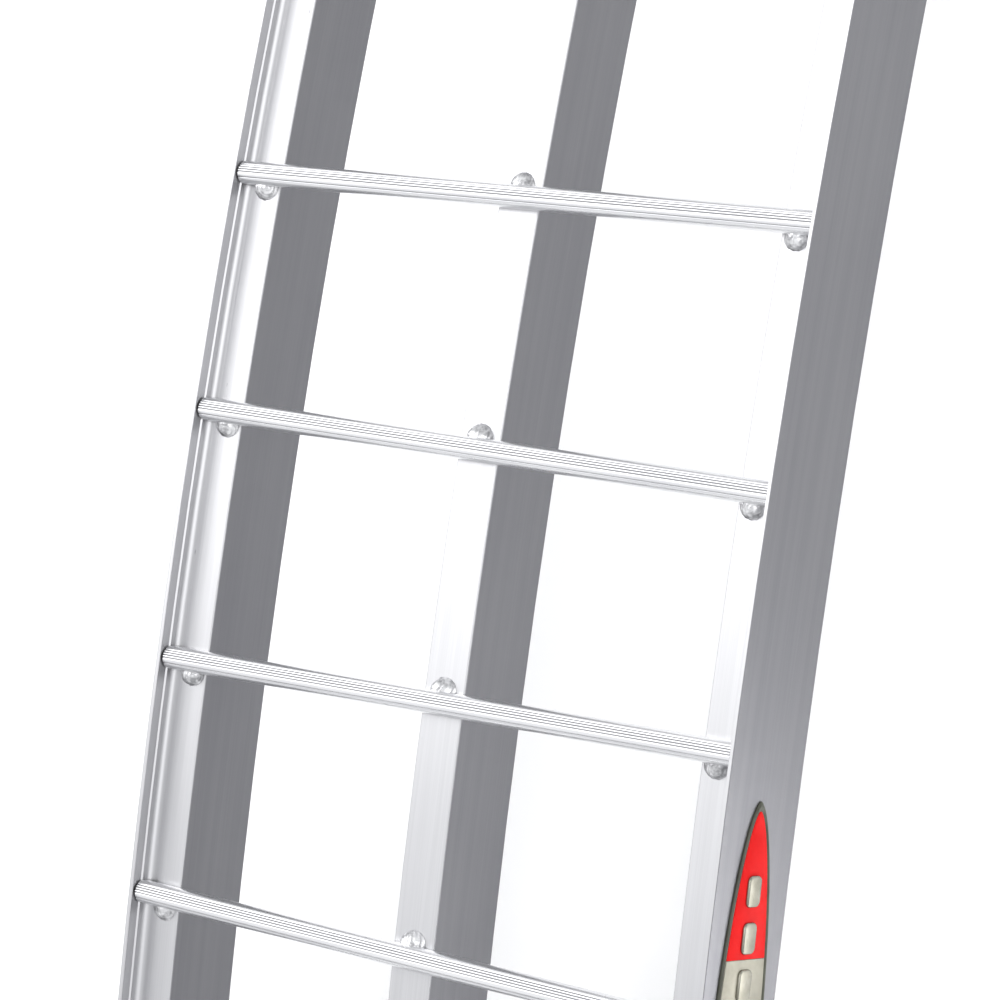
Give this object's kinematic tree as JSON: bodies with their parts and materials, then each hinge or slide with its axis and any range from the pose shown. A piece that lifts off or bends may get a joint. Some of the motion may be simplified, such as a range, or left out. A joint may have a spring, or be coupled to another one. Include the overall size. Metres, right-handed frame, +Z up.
{
  "type": "arched loading ramp",
  "caption": "Arched, centre-folding aluminium loading ramp: parallel lipped stringers under welded fluted rungs, a bent tongue plate at one end and rubber shoes at the other.",
  "frame": {"origin": "on the floor, midway across the ramp and midway between the foot end and the tongue tip, with the ramp standing as an arch", "axes": "+Y along the ramp towards the tongue, +Z up out of the floor on the tread side, +X across"},
  "size_m": [0.3902, 2.225, 0.2192],
  "materials": {
    "mill_aluminium": "mill-finish extruded aluminium, satin with fine lengthwise lines",
    "bright_aluminium": "bright extruded aluminium",
    "weld_metal": "as-welded aluminium bead, rippled",
    "zinc_steel": "zinc plated steel",
    "bronze": "plain bronze bush",
    "black_nylon": "moulded black nylon",
    "black_rubber": "moulded black rubber",
    "badge_rim": "dark olive rim",
    "badge_red": "gloss red",
    "badge_silver": "champagne silver"
  },
  "bodies": {
    "foot_half": {"badge_bars": "badge_silver", "badge_base": "badge_rim", "badge_red_field": "badge_red", "badge_silver_field": "badge_silver", "foot_screws": "zinc_steel", "foot_shoe_centre": "black_rubber", "foot_shoe_left": "black_rubber", "foot_shoe_right": "black_rubber", "hinge_plate_centre_minus": "zinc_steel", "hinge_plate_centre_plus": "zinc_steel", "hinge_plate_left_minus": "zinc_steel", "hinge_plate_left_plus": "zinc_steel", "hinge_plate_right_minus": "zinc_steel", "hinge_plate_right_plus": "zinc_steel", "lower_rung_1": "bright_aluminium", "lower_rung_2": "bright_aluminium", "lower_rung_3": "bright_aluminium", "lower_rung_4": "bright_aluminium", "lower_rung_5": "bright_aluminium", "lower_rung_6": "bright_aluminium", "lower_rung_7": "bright_aluminium", "lower_rung_8": "bright_aluminium", "lower_stringer_centre": "mill_aluminium", "lower_stringer_left": "mill_aluminium", "lower_stringer_right": "mill_aluminium", "lower_welds_centre": "weld_metal", "lower_welds_left": "weld_metal", "lower_welds_right": "weld_metal", "pivot_bolts": "zinc_steel", "pivot_nuts": "zinc_steel", "pivot_spacers": "black_nylon", "plate_bolts": "zinc_steel", "plate_nuts": "zinc_steel"},
    "tongue_half": {"end_plug_centre": "black_nylon", "end_plug_left": "black_nylon", "end_plug_right": "black_nylon", "hinge_lug_centre": "mill_aluminium", "hinge_lug_left": "mill_aluminium", "hinge_lug_right": "mill_aluminium", "lug_welds": "weld_metal", "pivot_bushes": "bronze", "tongue_pad": "black_rubber", "tongue_plate": "mill_aluminium", "tongue_rivets": "bright_aluminium", "upper_rung_1": "bright_aluminium", "upper_rung_2": "bright_aluminium", "upper_rung_3": "bright_aluminium", "upper_rung_4": "bright_aluminium", "upper_rung_5": "bright_aluminium", "upper_rung_6": "bright_aluminium", "upper_rung_7": "bright_aluminium", "upper_rung_8": "bright_aluminium", "upper_stringer_centre": "mill_aluminium", "upper_stringer_left": "mill_aluminium", "upper_stringer_right": "mill_aluminium", "upper_welds_centre": "weld_metal", "upper_welds_left": "weld_metal", "upper_welds_right": "weld_metal"}
  },
  "joints": [
    {"name": "centre_fold", "type": "hinge", "parent": "foot_half", "child": "tongue_half", "pos_m": [0, -0.05081, 0.15278], "axis": [-1, 0, 0], "range_deg": [0, 162]}
  ]
}
